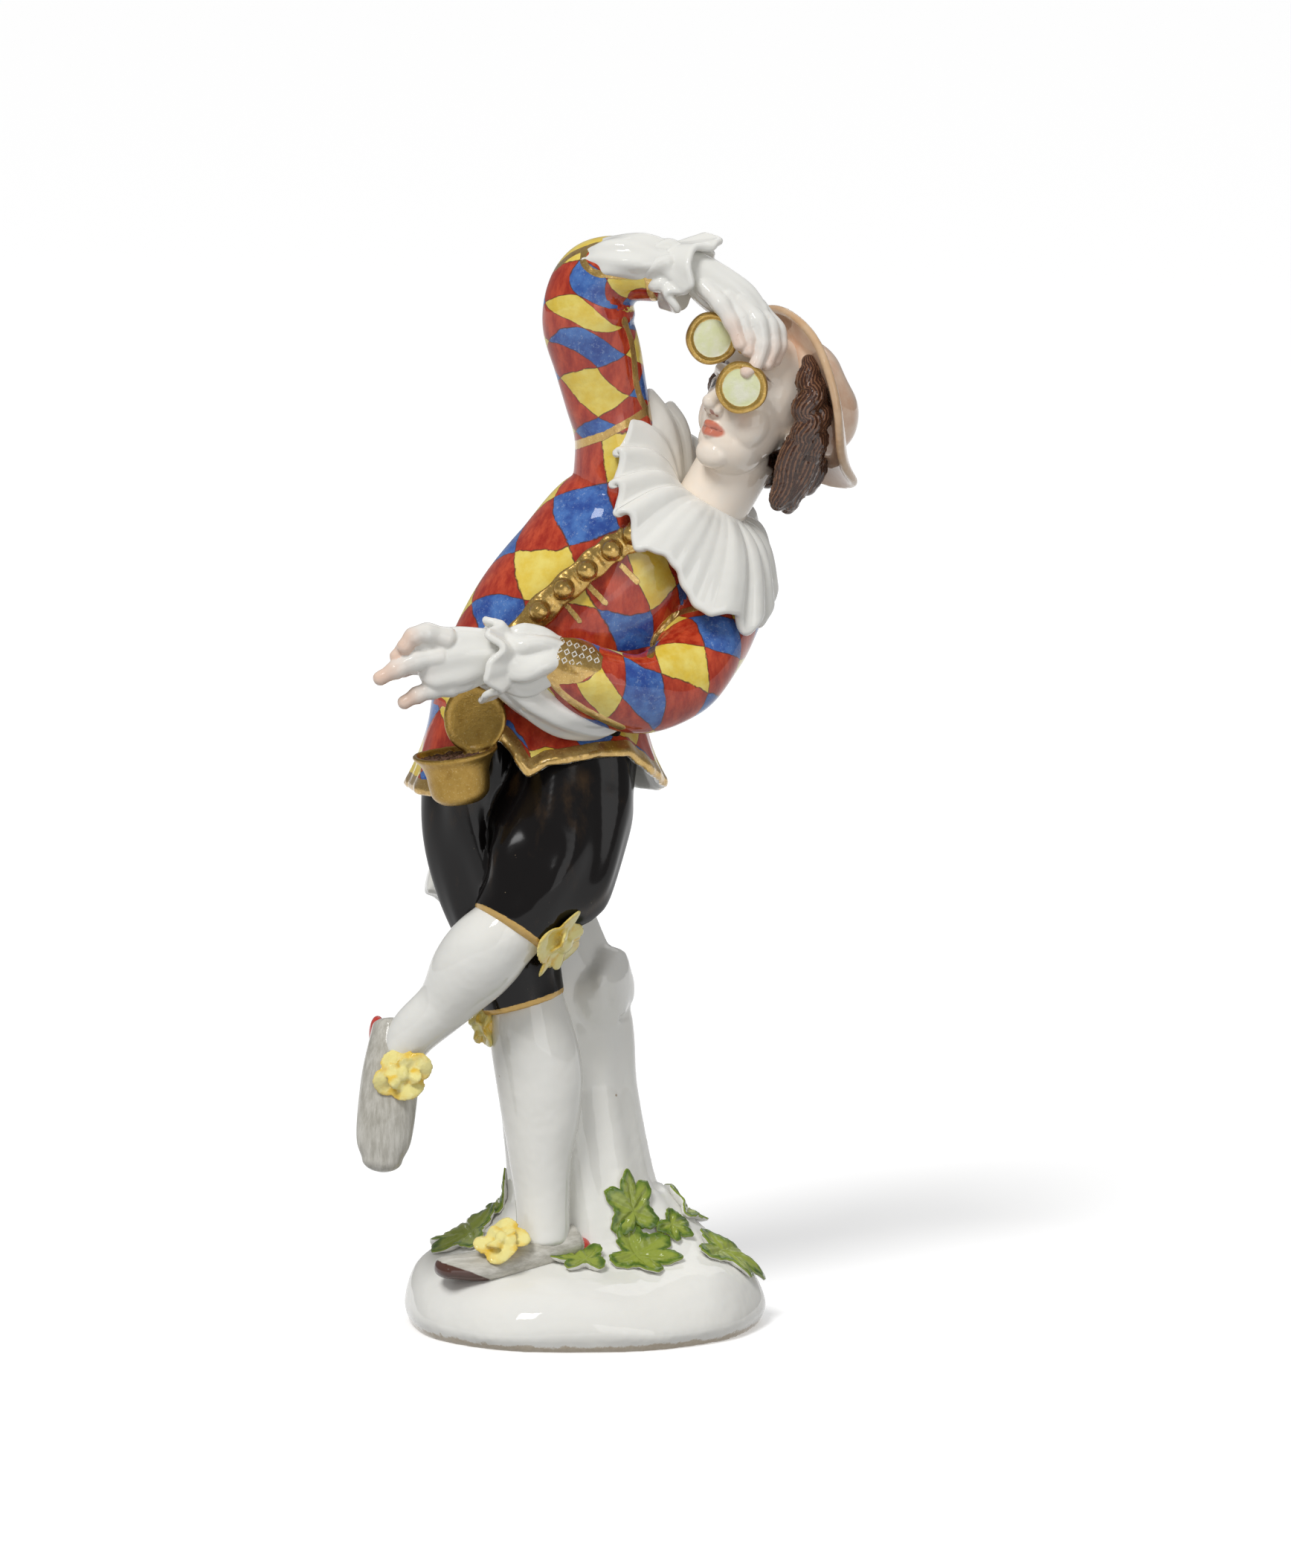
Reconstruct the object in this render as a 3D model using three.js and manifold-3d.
// A glazed porcelain comedy figure, fired as one piece: a player in a lozenge coat leans back on one leg
// against a tree stump, holding a pair of eyeglasses before the face, on a mound with applied leaves.
// Millimetres, +Z up, +Y away from the front, origin at the middle of the underside.

import * as THREE from 'three';
import { mergeVertices } from 'three/addons/utils/BufferGeometryUtils.js';
import Module from 'manifold-3d';

// Driving dimensions
const figureHeight = 165; // underside to the topmost wrist frill
const moundWidth = 54;
const moundDepth = 40;
const moundHeight = 9; // the ground under the standing shoe
const leafThickness = 1.6;
const lensDiameter = 7.6; // over the gilt rim
const lensThickness = 1.7;
const collarThickness = 1.8;
const frillThickness = 1.2;
const brimThickness = 1.4;
const skirtThickness = 1.6;

// The pose is drawn on a grid with this many parts to the height, and its ground is at soleLevel parts.
const gridParts = 164.54;
const soleLevel = 9;
const unit = figureHeight / gridParts;
const lift = moundHeight - soleLevel * unit;

const weldDistance = 1e-4;
const nudge = 1e-3;

const library = await Module();
library.setup();

/** A point of the pose grid, in millimetres. */
function at(x, y, z) {
  return new THREE.Vector3(x * unit, y * unit, z * unit + lift);
}

/** Six times the signed volume inside an indexed triangle mesh. */
function signedVolume(positions, triangles) {
  const [a, b, c] = [new THREE.Vector3(), new THREE.Vector3(), new THREE.Vector3()];
  let sum = 0;
  for (let i = 0; i < triangles.length; i += 3) {
    a.fromArray(positions, 3 * triangles[i]);
    b.fromArray(positions, 3 * triangles[i + 1]);
    c.fromArray(positions, 3 * triangles[i + 2]);
    sum += a.dot(b.cross(c));
  }
  return sum;
}

/** A closed geometry as a solid, with its faces turned outwards. */
function toSolid(geometry) {
  const bare = new THREE.BufferGeometry();
  bare.setAttribute('position', geometry.getAttribute('position'));
  bare.setIndex(geometry.getIndex());
  const welded = mergeVertices(bare, weldDistance);
  const vertProperties = new Float32Array(welded.getAttribute('position').array);
  const triVerts = new Uint32Array(welded.getIndex().array);
  if (signedVolume(vertProperties, triVerts) < 0) {
    triVerts.reverse();
  }
  return new library.Manifold(new library.Mesh({ numProp: 3, vertProperties, triVerts }));
}

/** A smooth step from 0 to 1 as x goes from low to high. */
function ease(low, high, x) {
  const share = THREE.MathUtils.clamp((x - low) / (high - low), 0, 1);
  return share * share * (3 - 2 * share);
}

/** A bell of height 1 at centre; angles in degrees wrap round. */
function bell(angle, centre, spread) {
  const apart = THREE.MathUtils.euclideanModulo(angle - centre + 180, 360) - 180;
  return Math.exp(-((apart / spread) ** 2));
}

/** The sine of an angle in degrees. */
function wave(degrees) {
  return Math.sin(THREE.MathUtils.degToRad(degrees));
}

/**
 * A limb: a sphere drawn out along a smooth spine. Each station is [x, y, z, half width, half depth], with
 * the depth away from the front. Each end is closed over a number of rings and stands out by its share of the
 * radius; relief(t, degrees) adds to the radius, in grid parts.
 */
function limb(stations, { around = 11, along = 6, ends = [0.8, 0.8], caps = 2, relief = () => 0 } = {}) {
  const spine = new THREE.CatmullRomCurve3(stations.map(([x, y, z]) => at(x, y, z)), false, 'catmullrom');
  const girth = new THREE.CatmullRomCurve3(
    stations.map((station) => new THREE.Vector3(station[3], station[4], 0)), false, 'catmullrom');
  const rings = along + 2 * caps;
  const geometry = new THREE.SphereGeometry(1, around, rings);
  const position = geometry.getAttribute('position');
  for (let ring = 0; ring <= rings; ring += 1) {
    const t = THREE.MathUtils.clamp((ring - caps) / along, 0, 1);
    const start = Math.min(ring / caps, 1) * Math.PI / 2;
    const finish = Math.min((rings - ring) / caps, 1) * Math.PI / 2;
    const spread = Math.min(Math.sin(start), Math.sin(finish));
    const { x: width, y: depth } = girth.getPoint(t);
    const tangent = spine.getTangent(t);
    const deep = new THREE.Vector3(0, 1, 0).addScaledVector(tangent, -tangent.y).normalize();
    const wide = new THREE.Vector3().crossVectors(deep, tangent);
    const reach = (ends[1] * Math.cos(finish) - ends[0] * Math.cos(start)) * (width + depth) / 2;
    const centre = spine.getPoint(t).addScaledVector(tangent, reach * unit);
    for (let step = 0; step <= around; step += 1) {
      const turn = (step % around) / around * 2 * Math.PI;
      const extra = relief(t, THREE.MathUtils.radToDeg(turn));
      const point = centre.clone()
        .addScaledVector(wide, Math.cos(turn) * spread * unit * (width + extra))
        .addScaledVector(deep, Math.sin(turn) * spread * unit * (depth + extra));
      position.setXYZ(ring * (around + 1) + step, point.x, point.y, point.z);
    }
  }
  return toSolid(geometry);
}

/** A finger of one radius through points of the pose grid. */
function finger(radius, points) {
  return limb(points.map((point) => [...point, radius, radius]), { around: 6, along: 2, caps: 1 });
}

/** A frame with its axis along a direction and its first side as near as can be to another. */
function frame(origin, axis, side) {
  const up = new THREE.Vector3(...axis).normalize();
  const across = new THREE.Vector3(...side);
  across.addScaledVector(up, -up.dot(across)).normalize();
  const third = new THREE.Vector3().crossVectors(up, across);
  return new THREE.Matrix4().makeBasis(across, third, up).setPosition(origin);
}

/** An egg: a sphere stretched to radii in grid parts, in a frame. */
function egg(place, radii, around = 10, rings = 6) {
  const [x, y, z] = radii.map((radius) => radius * unit);
  return toSolid(new THREE.SphereGeometry(1, around, rings).scale(x, y, z).applyMatrix4(place));
}

/**
 * A ring of cloth or felt of even thickness. middle(turn, share) gives its middle surface, with turn in
 * degrees round it and share going from 0 at the inner edge to 1 at the outer edge.
 */
function ringSheet(middle, thickness, around, across) {
  const geometry = new THREE.TorusGeometry(1, 0.5, 2 * across, around);
  const position = geometry.getAttribute('position');
  for (let row = 0; row <= 2 * across; row += 1) {
    const share = 1 - Math.abs(row % (2 * across) - across) / across;
    const face = row % across === 0 ? 0 : Math.sign(across - row);
    for (let step = 0; step <= around; step += 1) {
      const turn = (step % around) / around * 360;
      const point = middle(turn, share);
      const outward = middle(turn, Math.min(share + nudge, 1)).sub(middle(turn, Math.max(share - nudge, 0)));
      const onward = middle(turn + 360 * nudge, share).sub(middle(turn - 360 * nudge, share));
      const normal = new THREE.Vector3().crossVectors(outward, onward).normalize();
      point.addScaledVector(normal, face * thickness / 2);
      position.setXYZ(row * (around + 1) + step, point.x, point.y, point.z);
    }
  }
  return toSolid(geometry);
}

/** A frill round a wrist: a short fluted funnel, its axis towards the hand and one lobe standing out. */
function frill(place, { inner, outer, length, flutes, depth, lobe, lobeAt }) {
  return ringSheet((turn, share) => {
    const radius = (inner + (outer - inner + lobe * bell(turn, lobeAt, 45)) * share) * unit;
    const along = (length * (share - 0.4) + depth * share * wave(flutes * turn)) * unit;
    return new THREE.Vector3(radius * wave(turn + 90), radius * wave(turn), along).applyMatrix4(place);
  }, frillThickness, 3 * flutes, 2);
}

/** A flat piece cut from an outline and centred on a frame, its axis through the thickness. */
function plate(outline, thickness, place) {
  const cut = new THREE.ExtrudeGeometry(outline, { depth: thickness, bevelEnabled: false });
  cut.deleteAttribute('normal');
  cut.deleteAttribute('uv');
  return toSolid(mergeVertices(cut.translate(0, 0, -thickness / 2).applyMatrix4(place), weldDistance));
}

/** A closed outline, its radius at each angle given by radius(angle). */
function outlineOf(radius, steps) {
  const points = Array.from({ length: steps }, (unused, step) => {
    const angle = step / steps * 2 * Math.PI;
    return new THREE.Vector2(Math.cos(angle), Math.sin(angle)).multiplyScalar(radius(angle));
  });
  return new THREE.Shape(points);
}

/** The edge of a vine leaf as [degrees from its tip, share of its half size]: lobes and bays by turns. */
const leafEdge = [[0, 1], [27, 0.62], [52, 0.92], [84, 0.52], [122, 0.78], [180, 0.3]];

/** A vine leaf of five lobes, its length along the midrib. */
function leafOutline(length, width) {
  const mirrored = leafEdge.slice(1, -1).reverse().map(([degrees, reach]) => [360 - degrees, reach]);
  return new THREE.Shape([...leafEdge, ...mirrored].map(([degrees, reach]) => {
    return new THREE.Vector2(wave(degrees + 90) * length, wave(degrees) * width).multiplyScalar(reach / 2);
  }));
}

/** A ribbon rosette: a ring of petals with a raised heart. */
function rosette(place, radius) {
  const petals = 5;
  const thickness = 1.8 * unit;
  const rim = outlineOf((angle) => radius * unit * (0.86 + 0.14 * Math.cos(petals * angle)), 2 * petals);
  const middle = place.clone().multiply(new THREE.Matrix4().makeTranslation(0, 0, thickness / 2));
  return plate(rim, thickness, place).add(egg(middle, [0.35 * radius, 0.35 * radius, 0.9], 5, 4));
}

// The mound, as rings [height, centre x, centre y, half width, half depth], in shares of its own sizes
const moundRings = [
  [0, -0.01, 0, 0.97, 0.96],
  [0.32, -0.01, 0, 1, 1],
  [0.72, -0.02, 0.03, 0.95, 0.92],
  [1, -0.02, 0.08, 0.9, 0.78],
  [1.33, 0.01, 0.26, 0.72, 0.48],
  [1.78, 0.03, 0.3, 0.53, 0.38],
  [2.2, 0.02, 0.3, 0.42, 0.32],
];

/** The height, centre and half sizes of the mound at a level, from 0 at its foot to 6 at its top ring. */
function moundRing(level) {
  const low = Math.min(Math.floor(level), moundRings.length - 2);
  const [z, x, y, width, depth] = moundRings[low]
    .map((value, i) => THREE.MathUtils.lerp(value, moundRings[low + 1][i], level - low));
  const [across, back] = [moundWidth / 2, moundDepth / 2];
  return [z * moundHeight, x * across, y * back, width * across, depth * back];
}

/** A point of the mound's surface, by its turn in degrees from +X and its level. */
function moundPoint(turn, level) {
  const [z, x, y, width, depth] = moundRing(level);
  const uneven = 1 + 0.012 * wave(3 * turn + 60) + 0.01 * wave(5 * turn);
  return new THREE.Vector3(x + width * uneven * wave(turn + 90), y + depth * uneven * wave(turn), z);
}

/** The mound: stacked rings with a flat underside and a closed top. */
function mound() {
  const around = 22;
  const rings = moundRings.length + 1;
  const geometry = new THREE.SphereGeometry(1, around, rings);
  const position = geometry.getAttribute('position');
  for (let ring = 0; ring <= rings; ring += 1) {
    const level = THREE.MathUtils.clamp(ring - 1, 0, moundRings.length - 1);
    const [z, x, y] = moundRing(level);
    const closing = ring === 0 || ring === rings;
    for (let step = 0; step <= around; step += 1) {
      const point = closing ? new THREE.Vector3(x, y, z) : moundPoint((step % around) / around * 360, level);
      position.setXYZ(ring * (around + 1) + step, point.x, point.y, point.z);
    }
  }
  return toSolid(geometry);
}

/** A leaf laid on the mound, its tip turned by so many degrees from straight uphill. */
function moundLeaf([turn, level, length, width, twist]) {
  const here = moundPoint(turn, level);
  const uphill = moundPoint(turn, level + 0.1).sub(here);
  const onward = moundPoint(turn + 1, level).sub(here);
  const normal = new THREE.Vector3().crossVectors(onward, uphill).normalize();
  const place = frame(here.addScaledVector(normal, 0.4 * leafThickness), normal.toArray(), uphill.toArray());
  place.multiply(new THREE.Matrix4().makeRotationZ(THREE.MathUtils.degToRad(twist)));
  return plate(leafOutline(length, width), leafThickness, place);
}

/** The mound and its applied leaves: [turn, level, length, width, twist]. */
function ground() {
  const leaves = [
    [-62, 5.3, 12, 11, 5],
    [-58, 4.2, 12, 10, -130],
    [-92, 3.9, 10, 8, 80],
    [-28, 3.8, 11, 9, 175],
    [10, 4.8, 9, 8, 150],
    [192, 4.2, 12, 10, 165],
    [168, 5.2, 9, 8, 10],
    [95, 4.6, 12, 11, 20],
  ];
  return [mound(), ...leaves.map(moundLeaf)];
}

/** The tree stump behind the legs, with a root at its foot and two sawn branches. */
function stump() {
  const bark = (t, turn) => 0.35 * wave(4 * turn + 90) + 1.2 * bell(turn, 300, 25) * ease(0.5, 0, t);
  const trunk = limb([
    [0, 6, 4, 14, 9],
    [0.3, 6, 13, 12.6, 8.4],
    [-0.4, 6, 21, 11, 7.5],
    [-2.2, 6.5, 34, 10.3, 7],
    [-3.4, 6.8, 45, 10.4, 6.8],
    [-7, 7.5, 57, 9.8, 6.5],
    [-11, 8, 68, 9, 6.5],
    [-12, 8, 75, 7, 5.5],
  ], { around: 12, along: 8, ends: [0.1, 0.6], caps: 1, relief: bark });
  const sawnBranch = limb([
    [1, 6, 49.5, 6, 5.8],
    [4.3, 4.8, 52, 5.2, 5.4],
    [6.2, 4.1, 53.2, 4, 4.6],
  ], { around: 8, along: 2, ends: [0.3, 0.2] });
  const backBranch = limb([
    [-13, 9, 64, 4, 4],
    [-19, 8.3, 66.4, 3.2, 3.4],
    [-22, 8, 67.6, 3, 3.2],
  ], { around: 7, along: 2, ends: [0.3, 0.3], caps: 1 });
  return [trunk, sawnBranch, backBranch];
}

/** Folds running down a leg of the breeches, fading out at both ends. */
function breechesFolds(t, turn) {
  return 0.5 * wave(5 * turn + 340 * t) * ease(0, 0.3, t) * ease(1, 0.6, t);
}

/** The leg that stands on the mound: breeches, stocking, shoe and heel. */
function standingLeg() {
  const thigh = limb([
    [-15.5, 1, 85, 9, 9.5],
    [-16.2, 0, 76, 8.2, 8.5],
    [-15, -1, 67.5, 7.8, 8],
    [-12, -2, 58.5, 7, 7.2],
    [-9.3, -2.6, 50, 6.2, 6.4],
  ], { ends: [0.3, 0.05], caps: 1, relief: breechesFolds });
  const shin = limb([
    [-9.2, -2.5, 51, 5.6, 5.6],
    [-8.2, -3, 45.5, 6.2, 6],
    [-6.8, -3, 38.5, 6, 6],
    [-6.2, -3.2, 31, 5, 5.2],
    [-5.8, -3.6, 23, 4, 4.2],
    [-5.4, -4, 17.5, 3.7, 3.9],
    [-5.4, -4.4, 12.5, 3.8, 4],
  ], { around: 10, ends: [0.2, 0.2], caps: 1 });
  const shoe = limb([
    [-1.6, -3.4, 13.6, 2.5, 3],
    [-8, -5.8, 12, 2.8, 3.6],
    [-14.5, -8.4, 10.8, 2.3, 3.9],
    [-20.2, -10.4, 10.9, 1.6, 2.9],
  ], { around: 9, along: 4, ends: [0.4, 0.8] });
  const heel = egg(frame(at(-0.4, -3.4, 11.8), [0, 0, 1], [1, 0, 0]), [1.6, 2.2, 2.2], 6, 4);
  return [thigh, shin, shoe, heel];
}

/** The leg crossed in front and raised behind: breeches, stocking, shoe and heel. */
function raisedLeg() {
  const thigh = limb([
    [-1.5, -1.5, 88, 10, 9.5],
    [-2.6, -4.5, 79.8, 9.6, 9.4],
    [-4.6, -8, 73, 9.1, 8.7],
    [-7.6, -11, 67.5, 7.3, 7.6],
    [-9, -12.6, 64, 6.6, 6.7],
  ], { ends: [0.3, 0.5], relief: breechesFolds });
  const shin = limb([
    [-8.5, -12.5, 62.5, 5.6, 5.5],
    [-12.5, -12.6, 59, 6.2, 6],
    [-17, -12, 54.6, 6, 5.7],
    [-21.5, -11, 50, 4.8, 4.7],
    [-25, -10, 46.3, 3.8, 3.8],
    [-27.3, -9.3, 43.2, 3.3, 3.4],
  ], { around: 10, ends: [0.2, 0.4], caps: 1 });
  const shoe = limb([
    [-28.2, -7.3, 46.6, 2.9, 3.2],
    [-28.3, -9.5, 41, 4.1, 3.6],
    [-28.8, -11.2, 35.2, 4.3, 3.1],
    [-29.3, -12.2, 30.4, 4, 2.5],
    [-29.5, -12.7, 27.8, 3, 1.9],
  ], { around: 9, along: 4, ends: [0.4, 0.7] });
  const heel = egg(frame(at(-30.4, -5.2, 45), [0, 0, 1], [1, 0, 0]), [1.3, 2.2, 2.8], 6, 5);
  return [thigh, shin, shoe, heel];
}

/** The ribbon rosettes of the shoes and knees. */
function rosettes() {
  return [
    rosette(frame(at(-26.5, -13.4, 40.6), [0.1, -0.95, 0.25], [1, 0, 0]), 4.2),
    rosette(frame(at(-3.6, -12.4, 60.4), [0.8, -0.3, -0.52], [0.5, 0, 0.8]), 6),
    rosette(frame(at(-14.2, -3.6, 46.2), [-0.93, -0.35, 0], [0, 0, 1]), 3.2),
    rosette(frame(at(-11.4, -9.4, 14.8), [-0.15, -0.65, 0.74], [1, 0, 0]), 3.8),
  ];
}

/** The coat's skirt: its hem rises at the front opening and dips at the corners of its panels. */
function skirt() {
  const waist = 95;
  return ringSheet((turn, share) => {
    const opening = bell(turn, 256, 8);
    const frontPanel = ease(260, 268, turn) * ease(318, 312, turn);
    const hem = 81.4 + 4.5 * opening + frontPanel * (4 + 0.06 * (turn - 265)) - 1.2 * bell(turn, 345, 14);
    const flare = share * share;
    const folds = 0.5 * flare * wave(9 * turn);
    const width = 15.2 + 2.9 * flare + flare * bell(turn, 350, 40) + folds;
    const depth = 10.8 + (3 + 1.5 * frontPanel) * flare + folds;
    const height = waist + (hem - waist) * share;
    return at(-6.6 - share + width * wave(turn + 90), 0.5 + depth * wave(turn), height);
  }, skirtThickness, 28, 2);
}

/** The body of the coat with its skirt. */
function coatBody() {
  const body = limb([
    [-8.2, 0.5, 84, 15.4, 11],
    [-7.4, 0.5, 90, 15.5, 11],
    [-6, 0.5, 96, 15.3, 11],
    [-2.6, 0.8, 103.5, 14.8, 10.8],
    [2.6, 1.2, 111.5, 14, 10.6],
    [8, 1.5, 119.5, 13.2, 10],
    [12.2, 1.5, 125.6, 10.2, 8.4],
    [14.5, 1.5, 129, 7, 6.5],
  ], { around: 16, along: 7, ends: [0.1, 0.4], caps: 1 });
  return [body, skirt()];
}

/** The raised sleeve, bent at the elbow over the head, with the shirt puffed out of its slit. */
function raisedSleeve() {
  const sleeve = limb([
    [6.2, 1.5, 127, 7.6, 7.4],
    [4.6, 1.2, 133, 6, 6.2],
    [3.2, 0.6, 138.5, 6, 6],
    [1.8, -0.2, 144.5, 6.1, 6],
    [0.9, -0.9, 150.6, 6.7, 6.2],
    [2.2, -1.6, 155.8, 6.2, 5.6],
    [6.5, -2.6, 157.8, 5, 5],
    [11.3, -3.5, 157.4, 4.3, 4.6],
  ], { around: 10, along: 8, ends: [0.4, 0.1], caps: 1 });
  return [sleeve, egg(frame(at(6.6, -3.4, 159), [1, -0.15, 0], [0, 0, 1]), [4.4, 4.6, 7])];
}

/** The lowered sleeve, crossing the waist, with the shirt puffed out below it. */
function loweredSleeve() {
  const sleeve = limb([
    [19.6, 0, 107, 6.6, 7],
    [17.6, -4.5, 102.2, 6.1, 6.5],
    [13.8, -9.5, 99.2, 6, 5.8],
    [8.3, -13.8, 98.4, 5.6, 5.2],
    [2, -16.3, 100.6, 4.9, 4.7],
    [-4, -17.6, 103.4, 4, 4],
  ], { around: 10, along: 7, ends: [0.7, 0.1], caps: 1 });
  return [sleeve, egg(frame(at(-1.5, -14.8, 96.6), [-0.93, -0.25, 0.25], [0, 0, 1]), [5, 4.8, 7.6])];
}

/** A gilt strap with round bells across the chest. */
function strap() {
  const band = limb([
    [8, -8.6, 119.6, 1.5, 1.2],
    [3.6, -9.4, 117.2, 1.7, 1.2],
    [-1, -10, 113, 1.7, 1.2],
    [-6.5, -10.4, 107.8, 1.8, 1.2],
    [-12, -11, 100.8, 1.8, 1.2],
    [-15.5, -12, 94, 1.6, 1.2],
  ], { around: 6, caps: 1 });
  const bellSize = 1.4;
  const bellPlaces = [
    [6.9, -9.2, 119.4],
    [4, -10.3, 117.6],
    [0.7, -10.9, 114.6],
    [-2.7, -11.2, 111.5],
    [-6.5, -11.4, 108.2],
  ];
  const bells = bellPlaces
    .map((place) => egg(frame(at(...place), [0, -1, 0], [1, 0, 0]), [bellSize, bellSize, bellSize], 6, 3));
  return [band, ...bells];
}

/** The pouch that hangs from the strap: a filled bowl with its round lid standing open behind it. */
function pouch() {
  const profile = [[0, 0], [3, 0.3], [4.4, 1.8], [4.8, 4.4], [6.1, 7.2], [5.7, 7.8], [0, 7]]
    .map(([radius, height]) => new THREE.Vector2(radius * unit, height * unit));
  const bowl = new THREE.LatheGeometry(profile, 12).rotateX(Math.PI / 2).scale(1, 0.85, 1);
  const lid = outlineOf((angle) => unit * Math.hypot(5 * Math.cos(angle), 4.6 * Math.sin(angle)), 12);
  return [
    toSolid(bowl.applyMatrix4(frame(at(-18.8, -14.2, 80.9), [-0.05, -0.05, 1], [1, 0, 0]))),
    plate(lid, 1.3 * unit, frame(at(-15.7, -12.8, 93.2), [-0.15, -0.97, 0.15], [0, 0, 1])),
  ];
}

/** The pleated collar: it falls on the chest and the lowered shoulder and stands up over the raised one. */
function collar() {
  const neck = frame(at(18.2, 0.6, 123), [0.5, 0, 0.86], [0.86, 0, -0.5]);
  const neckRadius = 5.4;
  const pleats = 11;
  const rim = new THREE.CatmullRomCurve3([
    [27.4, 1, 109.4],
    [25.2, 8, 115.8],
    [21.5, 11, 123.5],
    [15, 9.5, 131],
    [10.5, 4, 138],
    [6.2, -4, 134],
    [5, -8.8, 126],
    [9, -11.8, 118.8],
    [16.5, -12.6, 111.6],
    [24.6, -8.6, 106.6],
  ].map((point) => at(...point)), true, 'catmullrom');
  const axis = new THREE.Vector3(0, 0, 1).transformDirection(neck);
  return ringSheet((turn, share) => {
    const outer = rim.getPoint(THREE.MathUtils.euclideanModulo(turn / 360, 1));
    const inner = new THREE.Vector3(wave(turn + 90), wave(turn), 0).multiplyScalar(neckRadius * unit);
    const height = (2.2 * wave(180 * share) + 0.75 * share * wave(pleats * turn)) * unit;
    return inner.applyMatrix4(neck).lerp(outer, share).addScaledVector(axis, height);
  }, collarThickness, 4 * pleats, 2);
}

/** The head with its neck, drawn in a frame of its own: right, forward and up in grid parts. */
function head() {
  const up = new THREE.Vector3(0.4, 0.2, 0.89).normalize();
  const forward = new THREE.Vector3(-0.7, -0.68, 0.2);
  forward.addScaledVector(up, -forward.dot(up)).normalize();
  const turned = new THREE.Matrix4().makeBasis(new THREE.Vector3().crossVectors(forward, up), forward, up);
  turned.setPosition(at(26, -0.8, 137.4));
  const place = (...point) => {
    const moved = new THREE.Matrix4().makeTranslation(...point.map((part) => part * unit));
    return moved.premultiply(turned);
  };
  const neck = limb([
    [16.5, 1.2, 119, 6.4, 6.2],
    [19.6, 0.8, 124.4, 5.4, 5.6],
    [22.8, 0.4, 130, 5.4, 5.6],
  ], { around: 10, along: 2, caps: 1 });
  return [
    egg(place(0, -0.6, 1.8), [7.5, 9.1, 8.9], 12, 7),
    egg(place(0, 1.6, -3.2), [5.8, 6.7, 7.3], 9, 6),
    egg(place(0, 6.2, -8.6), [2.1, 1.7, 1.6], 6, 4),
    egg(place(0, 7.8, -5.1), [2.3, 1, 0.9], 6, 4),
    egg(place(0, 8.8, 0.6), [1, 1.2, 3], 6, 5),
    egg(place(0, 9.3, -1.6), [1.7, 1.7, 1.1], 6, 4),
    neck,
  ];
}

/** The soft hat set on the back of the head, with its rolled brim. */
function hat() {
  const axis = [0.9, 0.25, 0.36];
  const downhill = [0.37, 0, -0.93];
  const place = frame(at(32.6, 1.6, 138.4), axis, downhill);
  const brim = ringSheet((turn, share) => {
    const radius = (7.6 + (5.8 + 0.8 * bell(turn, 0, 40) + 0.8 * bell(turn, 180, 60)) * share) * unit;
    const roll = (1.2 * bell(turn, 180, 50) + (2.8 * bell(turn, 0, 35) - 1.4) * share ** 2) * unit;
    return new THREE.Vector3(radius * wave(turn + 90), radius * wave(turn), roll).applyMatrix4(place);
  }, brimThickness, 22, 2);
  return [brim, egg(frame(at(33.4, 2, 138.8), axis, downhill), [9, 8.8, 5.7], 12, 7)];
}

/** The locks of hair beside and behind the face. */
function hair() {
  const locks = [
    [[32.4, -5.6, 143.6, 2.4, 2.8], [32.4, -7, 134.6, 2.6, 2.8], [29.2, -5.2, 125.4, 2, 2.4]],
    [[33.2, -3, 132, 2.4, 3], [31.8, -2.4, 127.4, 2.4, 3], [31.6, -2, 124, 1.7, 2.4]],
    [[30.6, 3, 132, 3, 3.4], [29.6, 4, 127, 3, 3], [29, 4.4, 123, 2, 2]],
  ];
  return locks.map((stations) => limb(stations, { around: 6, along: 4, caps: 1 }));
}

/** The raised hand, palm down, with a frill at its wrist. */
function raisedHand() {
  const palm = limb([
    [13, -4.4, 159.2, 2.9, 2.6],
    [16, -5.2, 157.8, 3, 2.5],
    [19.2, -5.9, 155.4, 3.2, 2.4],
    [22.4, -6.6, 153.2, 3.2, 2.3],
    [24.8, -7, 151.2, 2.6, 1.8],
  ], { around: 8, along: 4 });
  const fingers = [
    [[21.8, -7.8, 153.8], [23.6, -9.5, 150.6], [24, -9.9, 147.2]],
    [[23.6, -7.4, 153.4], [25.6, -9.2, 149.6], [25, -9.8, 145.6]],
    [[24.8, -6.6, 152.8], [27, -8, 149], [26.6, -8.8, 145.2]],
    [[25.4, -5.6, 152.2], [28, -6.6, 148.6], [28, -7.4, 146]],
  ].map((points) => finger(1.2, points));
  const wrist = frame(at(14, -4.6, 159), [0.87, -0.12, -0.42], [0.42, 0, 0.87]);
  const cuff = { inner: 2.2, outer: 5.6, length: 2.2, flutes: 5, depth: 0.8, lobe: 1.2, lobeAt: 0 };
  return [palm, ...fingers, frill(wrist, cuff)];
}

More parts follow.
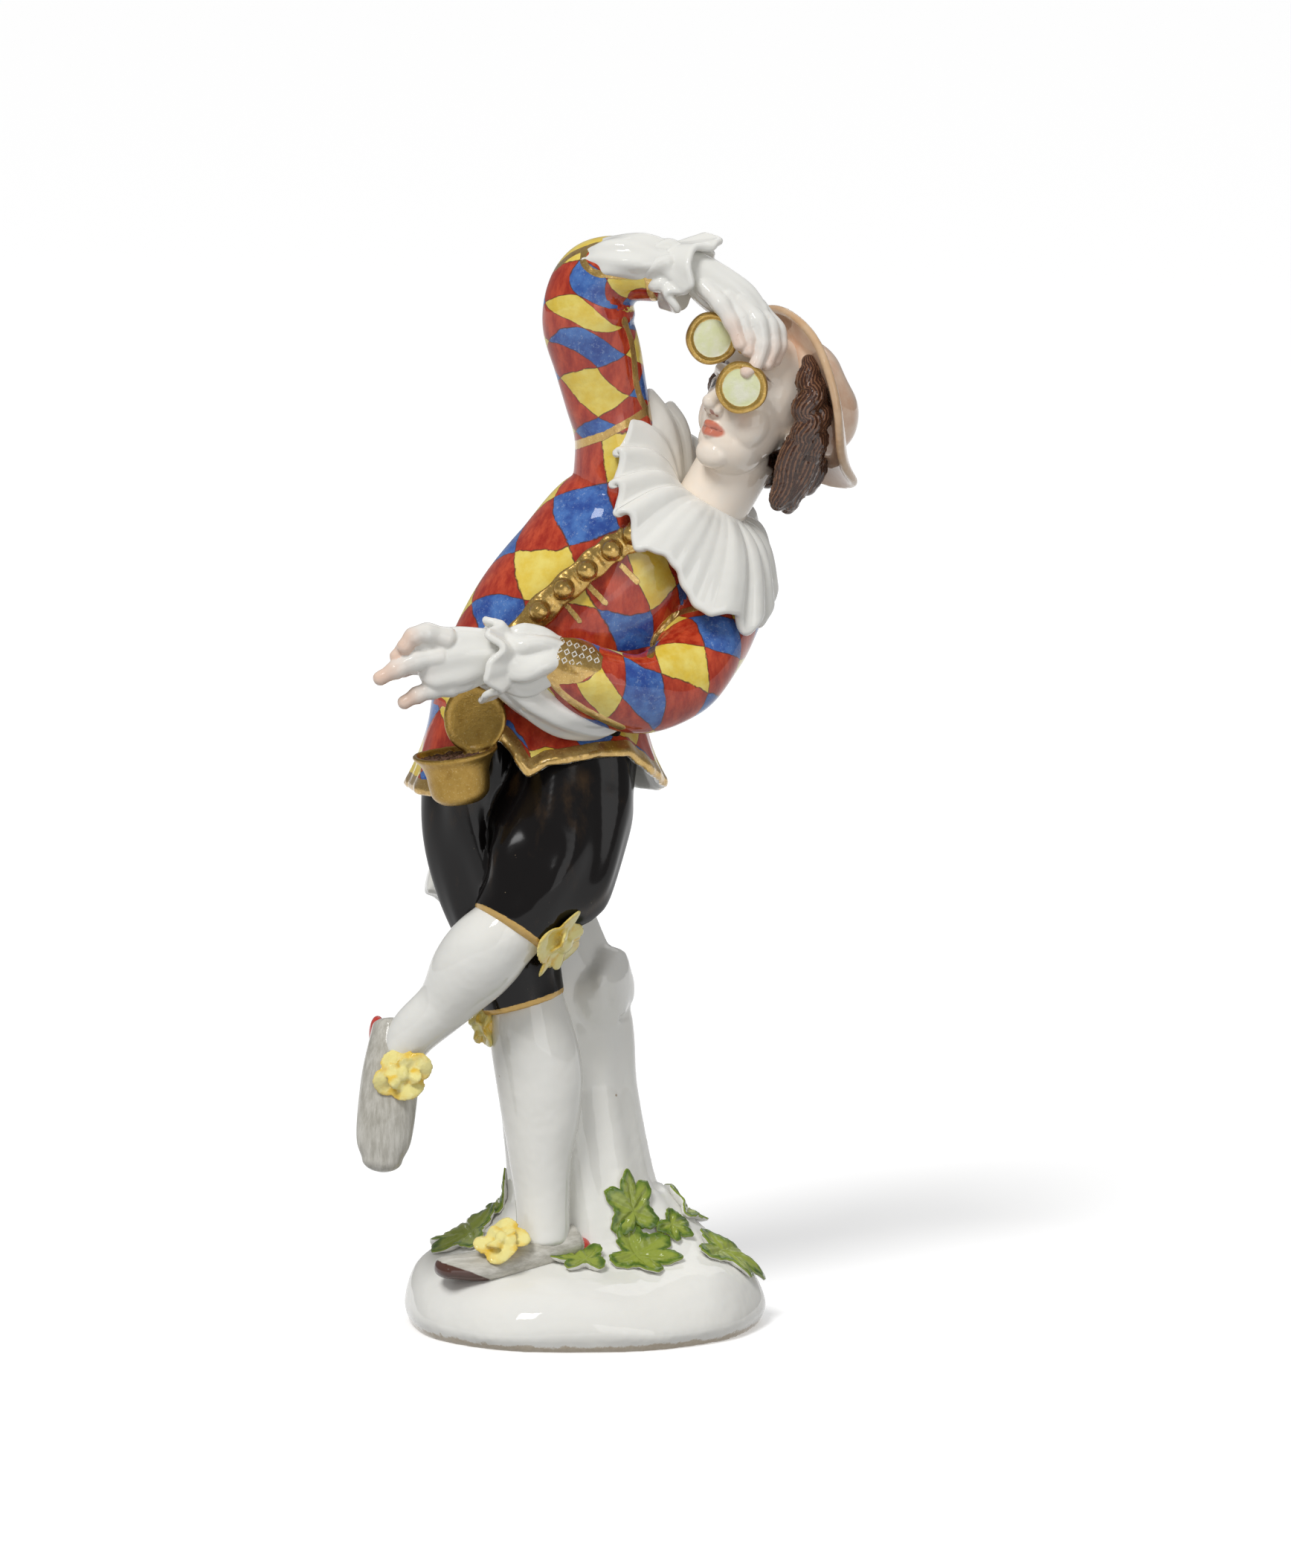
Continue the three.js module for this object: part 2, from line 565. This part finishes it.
/** The pair of round eyeglasses held under the raised hand, and the grip between them. */
function eyeglasses() {
  const lenses = [
    [[18.9, -8, 149.6], [0.15, -1, 0.1]],
    [[23.2, -11.2, 142.9], [-0.1, -1, 0.05]],
  ].map(([centre, axis]) => frame(at(...centre), axis, [0, 0, 1]))
    .map((place) => plate(outlineOf(() => lensDiameter / 2, 14), lensThickness, place));
  return [...lenses, finger(1, [[20.6, -7.6, 152.6], [23, -8.4, 149.4], [23.2, -10.8, 145]])];
}

/** The lowered hand, held out over the pouch, with a frill at its wrist. */
function loweredHand() {
  const palm = limb([
    [-7, -18, 102.8, 3.4, 3],
    [-11, -18.4, 103, 3.6, 2.6],
    [-15.5, -19, 103.2, 4.4, 2.3],
    [-20, -19.6, 102.6, 4, 1.9],
  ], { around: 8, along: 4 });
  const fingers = [
    [[-17, -20.6, 105.8], [-21.2, -21.6, 105.8], [-23.8, -21.8, 104.8]],
    [[-19, -20.2, 104], [-24, -21.4, 102.8], [-28.4, -22, 100.2]],
    [[-19, -20, 101.6], [-24, -20.8, 100.4], [-28, -21.2, 98.6]],
    [[-18, -19, 99.8], [-22, -19.6, 98], [-25, -20, 96.2]],
  ].map((points) => finger(1.25, points));
  const wrist = frame(at(-8.6, -18, 102.6), [-0.97, -0.12, 0.05], [0, 0, 1]);
  const cuff = { inner: 2.6, outer: 6.2, length: 3, flutes: 5, depth: 0.9, lobe: 0.6, lobeAt: 180 };
  return [palm, ...fingers, frill(wrist, cuff)];
}

/** All the forms joined into the one fired piece, solid throughout. */
function firedPiece() {
  const joined = library.Manifold.union([
    ...ground(), ...stump(), ...standingLeg(), ...raisedLeg(), ...rosettes(),
    ...coatBody(), ...raisedSleeve(), ...loweredSleeve(), ...strap(), ...pouch(), collar(),
    ...head(), ...hat(), ...hair(), ...raisedHand(), ...eyeglasses(), ...loweredHand(),
  ]);
  const shells = joined.decompose().filter((shell) => shell.volume() > 0);
  const { vertProperties, triVerts } = library.Manifold.union(shells).getMesh();
  const geometry = new THREE.BufferGeometry();
  geometry.setAttribute('position', new THREE.BufferAttribute(vertProperties, 3));
  geometry.setIndex(new THREE.BufferAttribute(triVerts, 1));
  return geometry;
}

const porcelain = new THREE.MeshStandardMaterial({ color: '#eceae4', roughness: 0.12, metalness: 0 });
const figure = new THREE.Mesh(firedPiece(), porcelain);
figure.name = 'porcelain_figure';

const work = new THREE.Group();
work.add(figure);

export default work;
